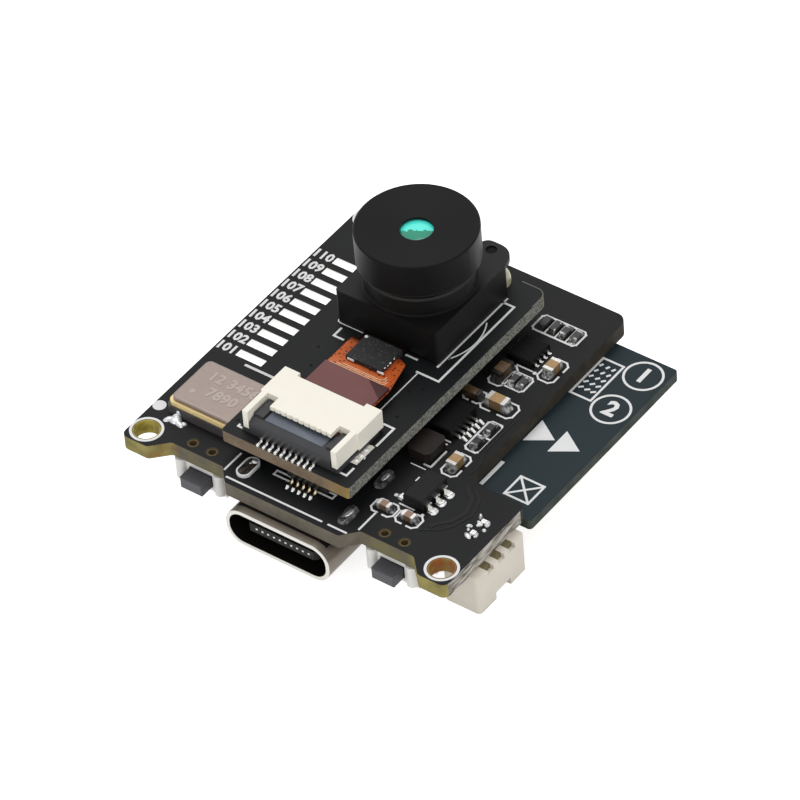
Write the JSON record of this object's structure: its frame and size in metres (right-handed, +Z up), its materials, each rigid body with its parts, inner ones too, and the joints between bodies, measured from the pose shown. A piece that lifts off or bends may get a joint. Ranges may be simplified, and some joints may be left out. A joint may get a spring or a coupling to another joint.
{
  "type": "camera module",
  "caption": "Camera module: a main board with USB-C socket, side buttons, radio module and oscillator, and a stacked camera board with a cylindrical lens on a short flex.",
  "frame": {"origin": "midway between the centres of the two near mounting holes, on the main board's top face", "axes": "+X along the USB edge to the right, +Y away from the USB edge across the boards, +Z up through the stack, the way the lens looks"},
  "size_m": [0.0288, 0.0296, 0.0149],
  "materials": {
    "solder_mask": "satin black solder mask over glass fibre",
    "black_plastic": "satin",
    "lens_black": "satin, finely grained",
    "white_plastic": "satin",
    "cream_plastic": "satin",
    "plunger": "satin",
    "steel": "satin",
    "tin": "bright tin plating",
    "solder": "bright",
    "gold": "gold plated",
    "ceramic_dark": "matt",
    "lid_metal": "satin",
    "capacitor": "satin",
    "resistor": "matt",
    "flex": "satin",
    "stiffener": "satin",
    "glass": "coated",
    "filter": "coated",
    "silicon": "polished",
    "glue": "glossy",
    "ferrite": "matt"
  },
  "bodies": {
    "body": {"main_board": "solder_mask", "camera_board": "solder_mask", "radio_board": "solder_mask", "sensor_board": "solder_mask", "stack_socket": "cream_plastic", "stack_plug": "cream_plastic", "stack_leads": "gold", "oscillator_base": "ceramic_dark", "oscillator_ring": "gold", "oscillator_lid": "lid_metal", "usb_shell": "steel", "usb_tongue": "black_plastic", "usb_contacts": "gold", "usb_solder": "solder", "left_switch_body": "white_plastic", "right_switch_body": "white_plastic", "left_switch_cover": "steel", "right_switch_cover": "steel", "wire_socket_housing": "white_plastic", "wire_socket_pins": "tin", "wire_socket_solder": "solder", "radio_shield": "steel", "radio_chip": "black_plastic", "radio_antenna": "gold", "flex_housing": "black_plastic", "flex_contacts": "tin", "flex_solder_tabs": "tin", "camera_flex": "flex", "flex_stiffener": "stiffener", "flex_chip": "black_plastic", "camera_holder": "lens_black", "lens_barrel": "lens_black", "front_glass": "glass", "rear_glass": "glass", "infrared_filter": "filter", "image_sensor": "silicon", "camera_glue": "glue", "inductor": "ferrite", "capacitor_bodies": "capacitor", "capacitor_ends": "tin", "resistor_bodies": "resistor", "resistor_ends": "tin", "regulator_body": "black_plastic", "regulator_leads": "tin", "charger_body": "black_plastic", "charger_leads": "tin", "logic_body": "black_plastic", "logic_leads": "tin"},
    "left_button": {"left_switch_plunger": "plunger"},
    "right_button": {"right_switch_plunger": "plunger"},
    "flex_lock": {"flex_slider": "cream_plastic"}
  },
  "joints": [
    {"name": "left_press", "type": "slide", "parent": "body", "child": "left_button", "axis": [0, 1, 0], "range_m": [0, 0.00025], "stiffness_N_per_m": 400},
    {"name": "right_press", "type": "slide", "parent": "body", "child": "right_button", "axis": [0, 1, 0], "range_m": [0, 0.00025], "stiffness_N_per_m": 400},
    {"name": "lock_slide", "type": "slide", "parent": "body", "child": "flex_lock", "axis": [0, 1, 0], "range_m": [0, 0.001]}
  ]
}
